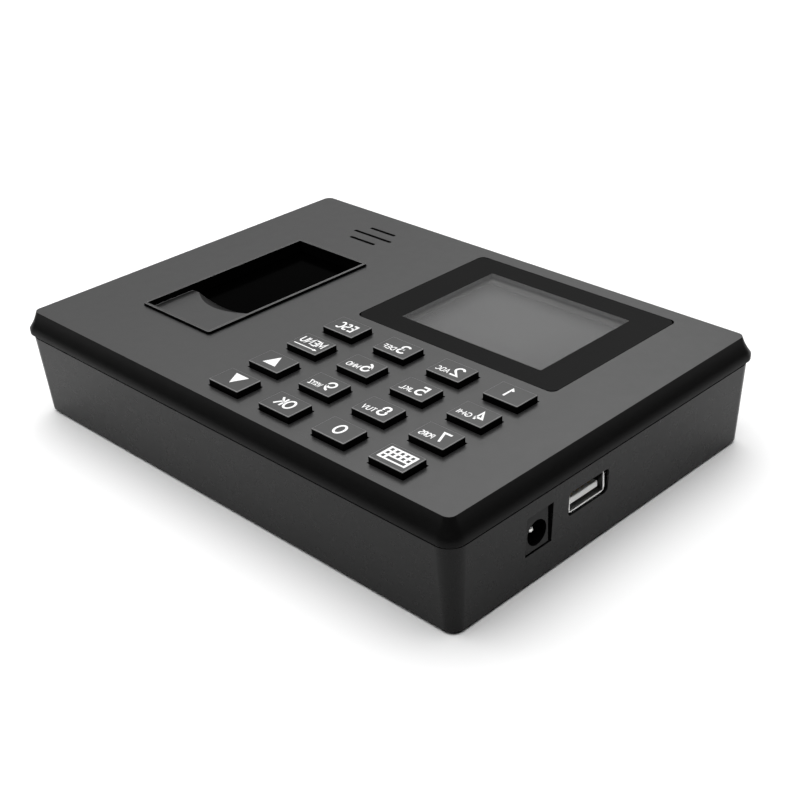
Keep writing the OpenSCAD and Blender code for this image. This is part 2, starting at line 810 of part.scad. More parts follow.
// ---- Fingerprint window ----

module sensor_bezel() {
    scoop_depth = glass_drop + eps;
    slope = atan2(scoop_depth, scoop_reach);
    sag = scoop_depth * cos(slope);
    scoop_r = scoop_w * scoop_w / (8 * sag) + sag / 2;
    reach = 40;
    color("#38383a") difference() {
        union() {
            round_block([bay_x0, bay_y0, glass_z0], [bay_x1, bay_y1, bay_z1], bay_r);
            block([bay_x0 - bay_flange, bay_y0 - bay_flange, z_under - bay_flange_t],
                [bay_x1 + bay_flange, bay_y1 + bay_flange, z_under]);
        }
        // the recess over the shelf and the glass
        block([bay_cx - bay_in_w / 2, bay_cy - bay_in_d / 2, shelf_z],
            [bay_cx + bay_in_w / 2, bay_cy + bay_in_d / 2, bay_z1 + over]);
        block([bay_cx - bay_in_w / 2, shelf_y1, glass_z0 - over],
            [bay_cx + bay_in_w / 2, bay_cy + bay_in_d / 2, bay_z1 + over]);
        // the finger scoop, a sloping cylinder
        intersection() {
            translate([bay_cx, shelf_y1 - scoop_reach, shelf_z]) rotate([-90 - slope, 0, 0])
                translate([0, -scoop_r, -reach]) cylinder(r = scoop_r, h = 2 * reach, $fn = 360);
            block([bay_cx - scoop_w / 2, bay_y0 + bay_rim_t, glass_z1 - eps],
                [bay_cx + scoop_w / 2, shelf_y1 + over, shelf_z + over]);
        }
    }
}

module sensor_glass() {
    gap = 0.1;
    color("#050505") block([bay_cx - bay_in_w / 2 + gap, shelf_y1 + gap, glass_z0],
        [bay_cx + bay_in_w / 2 - gap, bay_cy + bay_in_d / 2 - gap, glass_z1]);
}

// A right-angled prism bonded under the scanning glass
module sensor_prism() {
    w = 18;
    d = 22;
    h = 10;
    color("#c8dce4") translate([bay_cx - w / 2, optics_cy - d / 2, glass_z0]) rotate([90, 0, 90])
        linear_extrude(height = w) polygon([[0, 0], [d, 0], [d / 2, -h]]);
}

module sensor_housing() {
    wall = 1.5;
    win_w = 19;
    win_d = 23;
    color("#1d1d1f") difference() {
        union() {
            block([bay_cx - plate_w / 2, bay_cy - plate_d / 2, plate_z0],
                [bay_cx + plate_w / 2, bay_cy + plate_d / 2, glass_z0]);
            block([bay_cx - optics_w / 2, optics_cy - optics_d / 2, optics_z0],
                [bay_cx + optics_w / 2, optics_cy + optics_d / 2, glass_z0]);
        }
        block([bay_cx - win_w / 2, optics_cy - win_d / 2, plate_z0 - over],
            [bay_cx + win_w / 2, optics_cy + win_d / 2, glass_z0 + over]);
        block([bay_cx - optics_w / 2 + wall, optics_cy - optics_d / 2 + wall, optics_z0 - over],
            [bay_cx + optics_w / 2 - wall, optics_cy + optics_d / 2 - wall, plate_z0]);
        for (p = sensor_post_places) translate([p[0], p[1], 0])
            cylinder(r = board_screw_r + shank_gap, h = z_under);
    }
}

module sensor_board() {
    color("#1f5a34") block([bay_cx - optics_w / 2, optics_cy - optics_d / 2, optics_z0 - sensor_board_t],
        [bay_cx + optics_w / 2, optics_cy + optics_d / 2, optics_z0]);
}

// The image chip, its lens holder and lens on the sensor board
module sensor_camera() {
    chip_w = 10;
    chip_t = 2;
    barrel_r = 3.2;
    barrel_h = 1.6;
    color("#101010") translate([bay_cx, optics_cy, optics_z0]) {
        translate([-chip_w / 2, -chip_w / 2, 0]) cube([chip_w, chip_w, chip_t]);
        translate([0, 0, chip_t]) cylinder(r = barrel_r, h = barrel_h);
    }
}

module sensor_screws() {
    color("#8a8a8a") for (p = sensor_post_places) translate([p[0], p[1], plate_z0])
        pan_screw(board_screw_r, board_screw_head_r, board_screw_head_h, sensor_screw_len);
}

// Four leads from the sensor board's edge to a header under the main board
module sensor_cable() {
    x0 = bay_cx + optics_w / 2;
    z0 = optics_z0 - sensor_board_t - lead_reach;
    x1 = header_x - header_w / 2;
    y1 = header_places[0];
    z1 = board_z0 - header_h / 2;
    pitch = 2 * lead_r + 0.25;
    sag = 1.5;
    // the leads rise to the header over the second half of their run
    color("#a83030") for (i = [-1.5:1.5]) translate([0, i * pitch, 0]) wire([
        [x0 - 3, optics_cy, z0], [x0 + 1.5, optics_cy, z0],
        [x0 + (x1 - x0) * 0.4, optics_cy + (y1 - optics_cy) * 0.4, z0 - sag],
        [x0 + (x1 - x0) * 0.75, optics_cy + (y1 - optics_cy) * 0.8, (z0 + z1) / 2],
        [x1 - lead_end, y1, z1], [x1 - lead_reach, y1, z1]
    ], lead_r);
}

// ---- Loudspeaker ----

module speaker_mesh() {
    color("#0c0c0c") translate([speaker_x, speaker_y, speaker_z1]) cylinder(r = speaker_r, h = mesh_t);
}

module speaker_basket() {
    vent_r = 1.4;
    vent_x = 6;
    color("#404040") translate([speaker_x, speaker_y, speaker_z0]) difference() {
        cylinder(r = speaker_r, h = speaker_h);
        translate([0, 0, basket_t]) cylinder(r = speaker_r - basket_t, h = speaker_h);
        translate([0, 0, -over]) cylinder(r = pole_r + 0.2, h = basket_t + 2 * over);
        for (turn = [45:90:315]) rotate([0, 0, turn]) translate([vent_x, 0, -over])
            cylinder(r = vent_r, h = basket_t + 2 * over);
    }
}

module speaker_cone() {
    edge_r = speaker_r - basket_t - 0.1;
    coil_r = pole_r + 0.4;
    film = 0.4;
    color("#b0b0b0") translate([speaker_x, speaker_y, speaker_z0 + basket_t]) rotate_extrude()
        polygon([
            [coil_r, 0], [coil_r + film, 0], [coil_r + 2 * film, 0.9],
            [edge_r, 1.4], [edge_r, 1.4 + film], [coil_r + film, 0.9 + film],
            [0, 1.3 + film], [0, 1.3], [coil_r, 0.9]
        ]);
}

module speaker_magnet() {
    magnet_r = 4.6;
    pole_h = 1.2;
    color("#9a9a9a") translate([speaker_x, speaker_y, speaker_z0 - magnet_h]) union() {
        cylinder(r = magnet_r, h = magnet_h);
        cylinder(r = pole_r, h = magnet_h + pole_h);
    }
}

// Two leads from the basket's rim to a header under the main board
module speaker_leads() {
    x0 = speaker_x + 7.4;
    x1 = header_x - header_w / 2;
    y1 = header_places[1];
    z0 = speaker_z0 - lead_reach;
    z1 = board_z0 - header_h / 2;
    pitch = 2 * lead_r + 0.4;
    color("#202020") for (i = [-0.5, 0.5]) translate([0, i * pitch, 0]) wire([
        [x0, speaker_y, z0], [x0 + 1, speaker_y, z0 - 1.4], [x0 + 3.4, speaker_y, z0 - 2.2],
        [x0 + (x1 - x0) * 0.5, (speaker_y + y1) / 2, z1 - 3],
        [x0 + (x1 - x0) * 0.8, y1 + 1, z1 - 1.6], [x1 - lead_end, y1, z1], [x1 - lead_reach, y1, z1]
    ], lead_r);
}

// ---- Circuit board ----

module main_board() {
    notch_r = boss_r + board_gap;
    tab_y0 = dc_y - dc_w / 2 - tab_margin;
    tab_y1 = usb_y + usb_out_w / 2 + tab_margin;
    color("#1d5c38") difference() {
        union() {
            block([board_x0, board_y0, board_z0], [board_x1, board_y1, board_z1]);
            block([board_x1 - over, tab_y0, board_z0], [tab_x1, tab_y1, board_z1]);
        }
        for (p = boss_places) translate([p[0], p[1], board_z0 - over])
            cylinder(r = notch_r, h = board_t + 2 * over);
        for (p = post_places) translate([p[0], p[1], board_z0 - over])
            cylinder(r = board_screw_r + shank_gap, h = board_t + 2 * over);
    }
}

module board_screws() {
    bite = 5;
    color("#9a9a9a") for (p = post_places) translate([p[0], p[1], board_z0])
        pan_screw(board_screw_r, board_screw_head_r, board_screw_head_h, board_t + bite);
}

// A chip that hangs under the board: body with a row of legs along two sides
module chip(x, y, w, d, t) {
    leg_w = 0.4;
    leg_l = 1.2;
    leg_h = 0.5;
    pitch = 1.27;
    lift = 0.1;
    n = floor((d - 1) / pitch);
    translate([x, y, board_z0]) {
        translate([-w / 2, -d / 2, -t]) cube([w, d, t - lift]);
        for (sx = [-1, 1], i = [0:n - 1])
            translate([sx * (w / 2 + 0.5) - leg_l / 2, (i - (n - 1) / 2) * pitch - leg_w / 2, -leg_h])
                cube([leg_l, leg_w, leg_h]);
    }
}

module board_chips() {
    color("#151515") {
        chip(board_cx - 14, view_cy - 8, 16, 16, 1.4);
        chip(board_cx + 10, view_cy - 6, 8, 18, 1.2);
        chip(board_cx + 24, view_cy - 6, 6, 10, 1.6);
        chip(board_x0 + 14, keypad_y0 + 12, 5, 6, 1.5);
    }
}

// Three upright capacitors under the board, each with a groove crimped round its foot
module board_capacitors() {
    can_r = 3.15;
    can_h = 6.5;
    crimp_r = 0.4;
    crimp_h = 1.4;
    spacing = 8;
    color("#26303c") for (i = [0:2])
        translate([dc_x1 - dc_len - 6 - spacing * i, keypad_y0 + 6, board_z0 - can_h]) difference() {
            cylinder(r = can_r, h = can_h);
            translate([0, 0, can_h - crimp_h]) rotate_extrude() translate([can_r + crimp_r / 3, 0])
                circle(r = crimp_r, $fn = 24);
        }
}

module power_inductor() {
    w = 8;
    h = 3.5;
    dish_r = 3;
    dish_h = 0.6;
    color("#3a3a3a") translate([dc_x1 - dc_len - 14, dc_y + 2, board_z0 - h]) difference() {
        translate([-w / 2, -w / 2, 0]) cube([w, w, h]);
        translate([0, 0, -over]) cylinder(r = dish_r, h = dish_h + over);
    }
}

module clock_crystal() {
    can_l = 6.4;
    can_r = 2.2;
    h = 3.2;
    color("silver") translate([board_cx - 14, view_cy - 20.5, board_z0 - h]) {
        translate([-can_l / 2, -can_r, 0]) cube([can_l, 2 * can_r, h]);
        for (sx = [-1, 1]) translate([sx * can_l / 2, 0, 0]) cylinder(r = can_r, h = h);
    }
}

// White headers that hang under the board and take the leads
module wire_headers() {
    wall = 0.8;
    pocket = 3;
    x1 = header_x + header_w / 2;
    color("#efece2") for (y = header_places) difference() {
        block([x1 - header_w, y - header_d / 2, board_z0 - header_h], [x1, y + header_d / 2, board_z0]);
        block([x1 - pocket, y - header_d / 2 + wall, board_z0 - header_h + wall],
            [x1 + over, y + header_d / 2 - wall, board_z0 - wall]);
    }
}

module coin_cell() {
    step_r = 1.2;
    step_h = 0.6;
    color("silver") translate([cell_x, cell_y, board_z0 - cell_roof - cell_h]) union() {
        cylinder(r = cell_r - step_r, h = cell_h);
        translate([0, 0, step_h]) cylinder(r = cell_r, h = cell_h - step_h);
    }
}

module coin_cell_holder() {
    wall = 1.2;
    notch_w = 8;
    notch_d = 6;
    h = cell_h + cell_roof;
    color("#202020") translate([cell_x, cell_y, board_z0 - h]) difference() {
        cylinder(r = cell_r + fit + wall, h = h);
        translate([0, 0, -over]) cylinder(r = cell_r + fit, h = cell_h + over);
        translate([-notch_w / 2, -cell_r - notch_d * 2 / 3, -over]) cube([notch_w, notch_d, cell_h + over]);
    }
}

// ---- Sockets ----

// A tube of sheet metal along X, its mouth at x1
module sheet_tube(x0, x1, w, h) {
    difference() {
        block([x0, usb_y - w / 2 - usb_sheet, usb_z - h / 2 - usb_sheet],
            [x1, usb_y + w / 2 + usb_sheet, usb_z + h / 2 + usb_sheet]);
        block([x0 - over, usb_y - w / 2, usb_z - h / 2], [x1 + over, usb_y + w / 2, usb_z + h / 2]);
    }
}

module usb_shell() {
    leg_l = 2.4;
    lip_gap = 1.6;
    color("silver") union() {
        sheet_tube(usb_x0, usb_x1, usb_in_w, usb_in_h);
        // flared lips at the mouth, one on each side
        translate([usb_x1 - usb_sheet / 2, usb_y, usb_z]) for (side = [-1, 1]) {
            translate([0, 0, side * (usb_out_h + usb_flare) / 2])
                cube([usb_sheet, usb_out_w - lip_gap, usb_flare], center = true);
            translate([0, side * (usb_out_w + usb_flare) / 2, 0])
                cube([usb_sheet, usb_flare, usb_out_h - lip_gap], center = true);
        }
        // legs up to the board
        for (sy = [-1, 1], x = [usb_x0 + 1.5, usb_x1 - 6])
            translate([x, usb_y + sy * (usb_out_w - usb_sheet) / 2 - usb_sheet / 2, usb_z])
                cube([leg_l, usb_sheet, board_z0 - usb_z]);
    }
}

module usb_insulator() {
    foot_d = 2;
    color("#f2f2ee") union() {
        // tongue
        block([usb_x0, usb_y - tongue_w / 2, tongue_z0],
            [usb_x1 - tongue_back, usb_y + tongue_w / 2, tongue_z0 + tongue_t]);
        // the block that closes the back of the shell
        block([usb_x0, usb_y - usb_in_w / 2, usb_z - usb_in_h / 2],
            [usb_block_x, usb_y + usb_in_w / 2, usb_z + usb_in_h / 2]);
        // the foot behind the shell, up to the board
        block([usb_x0 - foot_d, usb_y - usb_in_w / 2, usb_z - usb_in_h / 2],
            [usb_x0, usb_y + usb_in_w / 2, board_z0]);
    }
}

module usb_contacts() {
    strip_w = 1;
    strip_t = 0.2;
    color("gold") for (y = [-3.5, -1, 1, 3.5])
        block([usb_block_x, usb_y + y - strip_w / 2, tongue_z0 + tongue_t],
            [usb_x1 - tongue_back - 1, usb_y + y + strip_w / 2, tongue_z0 + tongue_t + strip_t]);
}

module dc_jack_body() {
    color("#161616") difference() {
        block([dc_x1 - dc_len, dc_y - dc_w / 2, dc_z0], [dc_x1, dc_y + dc_w / 2, board_z0]);
        translate([dc_floor_x, dc_y, dc_z]) rotate([0, 90, 0])
            cylinder(r = dc_bore_r, h = dc_bore_len + over);
        translate([dc_floor_x - pin_root, dc_y, dc_z]) rotate([0, 90, 0])
            cylinder(r = pin_root_r + 2 * eps, h = pin_root + over);
        // channel for the sleeve spring above the hole
        block([dc_floor_x, dc_y - leaf_w / 2 - dc_gap, dc_z],
            [dc_x1 - leaf_back + 0.5, dc_y + leaf_w / 2 + dc_gap, leaf_z1]);
    }
}

module dc_jack_pin() {
    tip_x = dc_x1 - dc_pin_back;
    color("#d8d8d4") union() {
        translate([dc_floor_x - pin_root, dc_y, dc_z]) rotate([0, 90, 0])
            cylinder(r = pin_root_r, h = pin_root + eps);
        translate([dc_floor_x, dc_y, dc_z]) rotate([0, 90, 0])
            cylinder(r = dc_pin_r, h = tip_x - dc_pin_r - dc_floor_x);
        translate([tip_x - dc_pin_r, dc_y, dc_z]) sphere(r = dc_pin_r);
    }
}

// The leaf that presses on the plug's sleeve
module dc_jack_spring() {
    color("#c8b878") block([dc_floor_x, dc_y - leaf_w / 2, leaf_z1 - leaf_t],
        [dc_x1 - leaf_back, dc_y + leaf_w / 2, leaf_z1]);
}

// ---- Assembly ----

top_cover();
bottom_case();
rubber_feet();
case_screws();
display_lens();
lens_tape();
lcd_gasket();
lcd_panel();
lcd_backlight();
lcd_tray();
lcd_holder();
lcd_flex();
flex_socket();
keypad_membrane();
sensor_bezel();
sensor_glass();
sensor_prism();
sensor_housing();
sensor_camera();
sensor_board();
sensor_screws();
sensor_cable();
speaker_mesh();
speaker_basket();
speaker_cone();
speaker_magnet();
speaker_leads();
main_board();
board_screws();
board_chips();
board_capacitors();
power_inductor();
clock_crystal();
wire_headers();
coin_cell_holder();
coin_cell();
usb_shell();
usb_insulator();
usb_contacts();
dc_jack_body();
dc_jack_pin();
dc_jack_spring();
for (k = KEYS) key_cap(k[1], k[2]);
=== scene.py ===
"""Looks for the fingerprint scanner terminal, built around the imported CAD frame. Metres, +Z up."""
import json
import math

import bmesh
import bpy
from mathutils import Matrix, Vector

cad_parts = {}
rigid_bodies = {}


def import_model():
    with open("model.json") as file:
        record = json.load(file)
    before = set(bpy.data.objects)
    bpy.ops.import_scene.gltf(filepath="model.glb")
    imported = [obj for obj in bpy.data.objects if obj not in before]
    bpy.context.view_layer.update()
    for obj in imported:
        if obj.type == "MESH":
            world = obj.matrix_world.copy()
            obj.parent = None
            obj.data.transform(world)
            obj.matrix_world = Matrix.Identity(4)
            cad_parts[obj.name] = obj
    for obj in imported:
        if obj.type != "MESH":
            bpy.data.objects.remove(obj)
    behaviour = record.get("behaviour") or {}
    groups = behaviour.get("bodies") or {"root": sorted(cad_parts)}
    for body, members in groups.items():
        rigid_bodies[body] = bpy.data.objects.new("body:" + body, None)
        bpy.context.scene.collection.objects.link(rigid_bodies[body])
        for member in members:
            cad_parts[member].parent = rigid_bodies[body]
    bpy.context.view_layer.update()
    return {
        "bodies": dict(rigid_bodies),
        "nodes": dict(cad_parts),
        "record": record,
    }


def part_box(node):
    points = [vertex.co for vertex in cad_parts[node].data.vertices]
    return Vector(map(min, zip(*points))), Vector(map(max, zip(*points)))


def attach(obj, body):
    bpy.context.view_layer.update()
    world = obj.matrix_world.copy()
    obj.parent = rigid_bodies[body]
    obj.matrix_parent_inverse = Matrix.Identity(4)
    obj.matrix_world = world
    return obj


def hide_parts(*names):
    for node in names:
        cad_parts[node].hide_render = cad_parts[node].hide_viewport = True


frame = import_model()

MM = 0.001
ROOT = "terminal"
NODES = frame["nodes"]
SLOTS = {s["node"]: s["material_slot"] for s in frame["record"]["subparts"]}

# Camera, in metres and millimetres of film.
CAMERA_PLACE = (0.2518, -0.2315, 0.1968)
CAMERA_RIGHT = (0.724, 0.6889, -0.0349)
CAMERA_UP = (-0.3162, 0.3764, 0.8707)
CAMERA_LENS = 63.2
CAMERA_SHIFT = (-0.049, 0.0089)

# Each light is its place, target, width, depth and power.
LIGHTS = {
    "overhead": ((-0.30, 0.1, 1.6), (0, 0, 0), 3.2, 3.2, 88),
    "back_panel": ((-0.83, 1.06, 0.62), (0, 0, 0.03), 2.0, 0.7, 1.75),
}
TOWARD_CAMERA = (0.70, -0.71, 0)
WORLD_FADE = (-0.7, 0.75)
WORLD_LIGHT = (0.05, 0.015)
BACKDROP = 0.96
FLOOR_HALF = 1.7
FLOOR_GREY = 0.85

# Display.
PANEL_DARK = (0.058, 0.058, 0.058)
PANEL_LIGHT = (0.080, 0.080, 0.080)
PANEL_MARGIN = Vector((5.0, 2.4, 0)) * MM
LENS_CORNER = 2.6 * MM
WINDOW_CORNER = 0.4 * MM
PANE_GAP = 0.03 * MM
PANE_SUNK = 0.02 * MM

# Rounded edges, in millimetres.
EDGE_STEPS = 3
EDGE_ANGLE = 38
SKIN_EDGES = {"bottom_case": 0.2, "usb_insulator": 0.35, "case_screws": 0.1, "rubber_feet": 0.3}
COVER_EDGE = 0.16
KEY_EDGE = 0.26
LENS_EDGE = 0.04
JACK_EDGE = 0.1
SHELL_EDGE = 0.08
SHELL_MOUTH = 0.9 * MM

WELD = 0.0005 * MM
FLAT_ANGLE = 0.3


# ---- Camera, light and floor ----

def look_matrix(position, right, up):
    """A camera matrix from its place, its rightward axis and its upward axis."""
    x = Vector(right).normalized()
    z = x.cross(Vector(up)).normalized()
    y = z.cross(x)
    turn = Matrix((x, y, z)).transposed().to_4x4()
    return Matrix.Translation(position) @ turn


def make_camera():
    data = bpy.data.cameras.new("camera")
    data.sensor_width = 36
    data.lens = CAMERA_LENS
    data.shift_x, data.shift_y = CAMERA_SHIFT
    data.clip_start = 0.01
    data.clip_end = 50
    camera = bpy.data.objects.new("camera", data)
    camera.matrix_world = look_matrix(CAMERA_PLACE, CAMERA_RIGHT, CAMERA_UP)
    bpy.context.scene.collection.objects.link(camera)
    bpy.context.scene.camera = camera


def area_light(name, place, target, width, depth, power):
    data = bpy.data.lights.new(name, "AREA")
    data.shape = "RECTANGLE"
    data.size = width
    data.size_y = depth
    data.energy = power
    light = bpy.data.objects.new(name, data)
    light.location = place
    light.rotation_euler = (Vector(target) - Vector(place)).to_track_quat("-Z", "Y").to_euler()
    bpy.context.scene.collection.objects.link(light)


def make_world():
    """A studio with a pale backdrop, lit from behind the object and dark where the camera stands."""
    world = bpy.data.worlds.new("studio")
    bpy.context.scene.world = world
    world.use_nodes = True
    nodes = world.node_tree.nodes
    links = world.node_tree.links
    nodes["Background"].inputs["Color"].default_value = (1, 1, 1, 1)
    coords = nodes.new("ShaderNodeTexCoord").outputs["Generated"]
    toward = nodes.new("ShaderNodeVectorMath")
    toward.operation = "DOT_PRODUCT"
    toward.inputs[1].default_value = TOWARD_CAMERA
    links.new(coords, toward.inputs[0])
    fade = nodes.new("ShaderNodeMapRange")
    fade.interpolation_type = "SMOOTHSTEP"
    fade.inputs["From Min"].default_value = WORLD_FADE[0]
    fade.inputs["From Max"].default_value = WORLD_FADE[1]
    fade.inputs["To Min"].default_value = WORLD_LIGHT[0]
    fade.inputs["To Max"].default_value = WORLD_LIGHT[1]
    links.new(toward.outputs["Value"], fade.inputs["Value"])
    seen = nodes.new("ShaderNodeMix")
    seen.inputs["B"].default_value = BACKDROP
    links.new(nodes.new("ShaderNodeLightPath").outputs["Is Camera Ray"], seen.inputs["Factor"])
    links.new(fade.outputs["Result"], seen.inputs["A"])
    links.new(seen.outputs["Result"], nodes["Background"].inputs["Strength"])


def make_stage():
    make_world()
    for name, light in LIGHTS.items():
        area_light(name, *light)
    mesh = bpy.data.meshes.new("floor")
    half = FLOOR_HALF
    mesh.from_pydata([(-half, -half, 0), (half, -half, 0), (half, half, 0), (-half, half, 0)], [], [(0, 1, 2, 3)])
    floor = bpy.data.objects.new("floor", mesh)
    bpy.context.scene.collection.objects.link(floor)
    mat, nodes, links, shader = new_material("floor")
    shader.inputs["Base Color"].default_value = (FLOOR_GREY, FLOOR_GREY, FLOOR_GREY, 1)
    shader.inputs["Roughness"].default_value = 0.9
    shader.inputs["Specular IOR Level"].default_value = 0.1
    mesh.materials.append(mat)


# ---- Materials ----

def new_material(name):
    mat = bpy.data.materials.new(name)
    mat.use_nodes = True
    nodes = mat.node_tree.nodes
    return mat, nodes, mat.node_tree.links, nodes["Principled BSDF"]


def noise(nodes, links, coords, scale, detail=3.0, rough=0.5):
    tex = nodes.new("ShaderNodeTexNoise")
    tex.inputs["Scale"].default_value = scale
    tex.inputs["Detail"].default_value = detail
    tex.inputs["Roughness"].default_value = rough
    links.new(coords, tex.inputs["Vector"])
    return tex.outputs["Fac"]


def remap(nodes, links, value, low, high, from_low=0.3, from_high=0.7):
    node = nodes.new("ShaderNodeMapRange")
    node.inputs["From Min"].default_value = from_low
    node.inputs["From Max"].default_value = from_high
    node.inputs["To Min"].default_value = low
    node.inputs["To Max"].default_value = high
    links.new(value, node.inputs["Value"])
    return node.outputs["Result"]


def blend_colours(nodes, links, factor, low, high):
    node = nodes.new("ShaderNodeMix")
    node.data_type = "RGBA"
    node.inputs["A"].default_value = (*low, 1)
    node.inputs["B"].default_value = (*high, 1)
    links.new(factor, node.inputs["Factor"])
    return node.outputs["Result"]


def bump(nodes, links, shader, height, depth):
    node = nodes.new("ShaderNodeBump")
    node.inputs["Strength"].default_value = 1.0
    node.inputs["Distance"].default_value = depth
    links.new(height, node.inputs["Height"])
    links.new(node.outputs["Normal"], shader.inputs["Normal"])


def object_coords(nodes):
    return nodes.new("ShaderNodeTexCoord").outputs["Object"]


def plastic(name, colour, rough, specular=0.5, grain=0.35, depth=0.012, spread=0.12):
    """Moulded plastic: a fine grain, a mottled finish, and colour that drifts a little."""
    mat, nodes, links, shader = new_material(name)
    coords = object_coords(nodes)
    drift = noise(nodes, links, coords, 45, 4)
    low = [c * (1 - spread) for c in colour]
    high = [c * (1 + spread) for c in colour]
    links.new(blend_colours(nodes, links, drift, low, high), shader.inputs["Base Color"])
    mottle = noise(nodes, links, coords, 260, 6, 0.6)
    links.new(remap(nodes, links, mottle, rough - 0.02, rough + 0.02), shader.inputs["Roughness"])
    shader.inputs["Specular IOR Level"].default_value = specular
    grains = noise(nodes, links, coords, 1 / (grain * MM), 2)
    bump(nodes, links, shader, grains, depth * MM)
    return mat


def brushed(name, colour, rough, stretch=(1, 14, 14)):
    """Drawn or brushed metal with fine lines along X."""
    mat, nodes, links, shader = new_material(name)
    coords = object_coords(nodes)
    mapping = nodes.new("ShaderNodeMapping")
    mapping.inputs["Scale"].default_value = stretch
    links.new(coords, mapping.inputs["Vector"])
    lines = noise(nodes, links, mapping.outputs["Vector"], 420, 5)
    links.new(blend_colours(nodes, links, lines, [c * 0.82 for c in colour], colour), shader.inputs["Base Color"])
    links.new(remap(nodes, links, lines, rough - 0.06, rough + 0.08), shader.inputs["Roughness"])
    shader.inputs["Metallic"].default_value = 1.0
    bump(nodes, links, shader, lines, 0.004 * MM)
    return mat


def clear_window(name):
    """A thin clear sheet: straight through, with a gloss that grows at grazing angles."""
    mat, nodes, links, shader = new_material(name)
    nodes.remove(shader)
    output = nodes["Material Output"]
    clear = nodes.new("ShaderNodeBsdfTransparent")
    clear.inputs["Color"].default_value = (0.95, 0.95, 0.95, 1)
    gloss = nodes.new("ShaderNodeBsdfGlossy")
    haze = noise(nodes, links, object_coords(nodes), 70, 3)
    links.new(remap(nodes, links, haze, 0.3, 0.36), gloss.inputs["Roughness"])
    fresnel = nodes.new("ShaderNodeFresnel")
    fresnel.inputs["IOR"].default_value = 1.07
    milky = nodes.new("ShaderNodeBsdfDiffuse")
    milky.inputs["Color"].default_value = (0.3, 0.3, 0.3, 1)
    body = nodes.new("ShaderNodeMixShader")
    body.inputs["Fac"].default_value = 0.075
    links.new(clear.outputs["BSDF"], body.inputs[1])
    links.new(milky.outputs["BSDF"], body.inputs[2])
    mix = nodes.new("ShaderNodeMixShader")
    links.new(fresnel.outputs["Fac"], mix.inputs["Fac"])
    links.new(body.outputs["Shader"], mix.inputs[1])
    links.new(gloss.outputs["BSDF"], mix.inputs[2])
    links.new(mix.outputs["Shader"], output.inputs["Surface"])
    return mat


def display_panel(name, centre, spread):
    """The display's face: a grey with a painted pool of light, brightening softly towards the middle, and painted
    shade dimming it at its border.
    """
    mat, nodes, links, shader = new_material(name)
    coords = object_coords(nodes)
    mapping = nodes.new("ShaderNodeMapping")
    mapping.vector_type = "TEXTURE"
    mapping.inputs["Location"].default_value = centre
    mapping.inputs["Scale"].default_value = spread
    links.new(coords, mapping.inputs["Vector"])
    # Painted light: a soft pool, brightest at the middle of the view and fading to painted shade at its border.
    painted_light_pool = nodes.new("ShaderNodeTexGradient")
    painted_light_pool.gradient_type = "SPHERICAL"
    links.new(mapping.outputs["Vector"], painted_light_pool.inputs["Vector"])
    clouds = noise(nodes, links, coords, 55, 2)
    total = nodes.new("ShaderNodeMath")
    total.operation = "MULTIPLY_ADD"
    total.inputs[1].default_value = 0.35
    links.new(clouds, total.inputs[0])
    links.new(painted_light_pool.outputs["Fac"], total.inputs[2])
    shade = remap(nodes, links, total.outputs["Value"], 0, 1, 0.15, 1.0)
    links.new(blend_colours(nodes, links, shade, PANEL_DARK, PANEL_LIGHT), shader.inputs["Base Color"])
    shader.inputs["Roughness"].default_value = 0.5
    shader.inputs["Specular IOR Level"].default_value = 0.04
    return mat


def painted_highlight_edge(name):
    """A key's edge: a painted highlight, lighter and glossier where it faces up, and painted shade as dark as the
    walls where it doesn't; noise gives it a worn roughness and bump.
    """
    mat, nodes, links, shader = new_material(name)
    texture = nodes.new("ShaderNodeTexCoord")
    facing = nodes.new("ShaderNodeSeparateXYZ")
    links.new(texture.outputs["Normal"], facing.inputs["Vector"])
    upward = remap(nodes, links, facing.outputs["Z"], 0, 1, 0.25, 0.6)
    links.new(blend_colours(nodes, links, upward, (0.0015, 0.0015, 0.0015), (0.11, 0.11, 0.11)),
              shader.inputs["Base Color"])
    links.new(remap(nodes, links, upward, 0.03, 0.75, 0, 1), shader.inputs["Specular IOR Level"])
    wear = noise(nodes, links, texture.outputs["Object"], 900, 3)
    links.new(remap(nodes, links, wear, 0.3, 0.38), shader.inputs["Roughness"])
    bump(nodes, links, shader, wear, 0.003 * MM)
    return mat


def circuit_board(name):
    """Green solder mask over faint copper tracks."""
    mat, nodes, links, shader = new_material(name)
    coords = object_coords(nodes)
    tracks = nodes.new("ShaderNodeTexBrick")
    tracks.inputs["Scale"].default_value = 260
    tracks.inputs["Mortar Size"].default_value = 0.03
    tracks.inputs["Color1"].default_value = (0.012, 0.085, 0.035, 1)
    tracks.inputs["Color2"].default_value = (0.014, 0.1, 0.042, 1)
    tracks.inputs["Mortar"].default_value = (0.03, 0.19, 0.08, 1)
    links.new(coords, tracks.inputs["Vector"])
    links.new(tracks.outputs["Color"], shader.inputs["Base Color"])
    shader.inputs["Roughness"].default_value = 0.3
    bump(nodes, links, shader, tracks.outputs["Fac"], 0.03 * MM)
    return mat


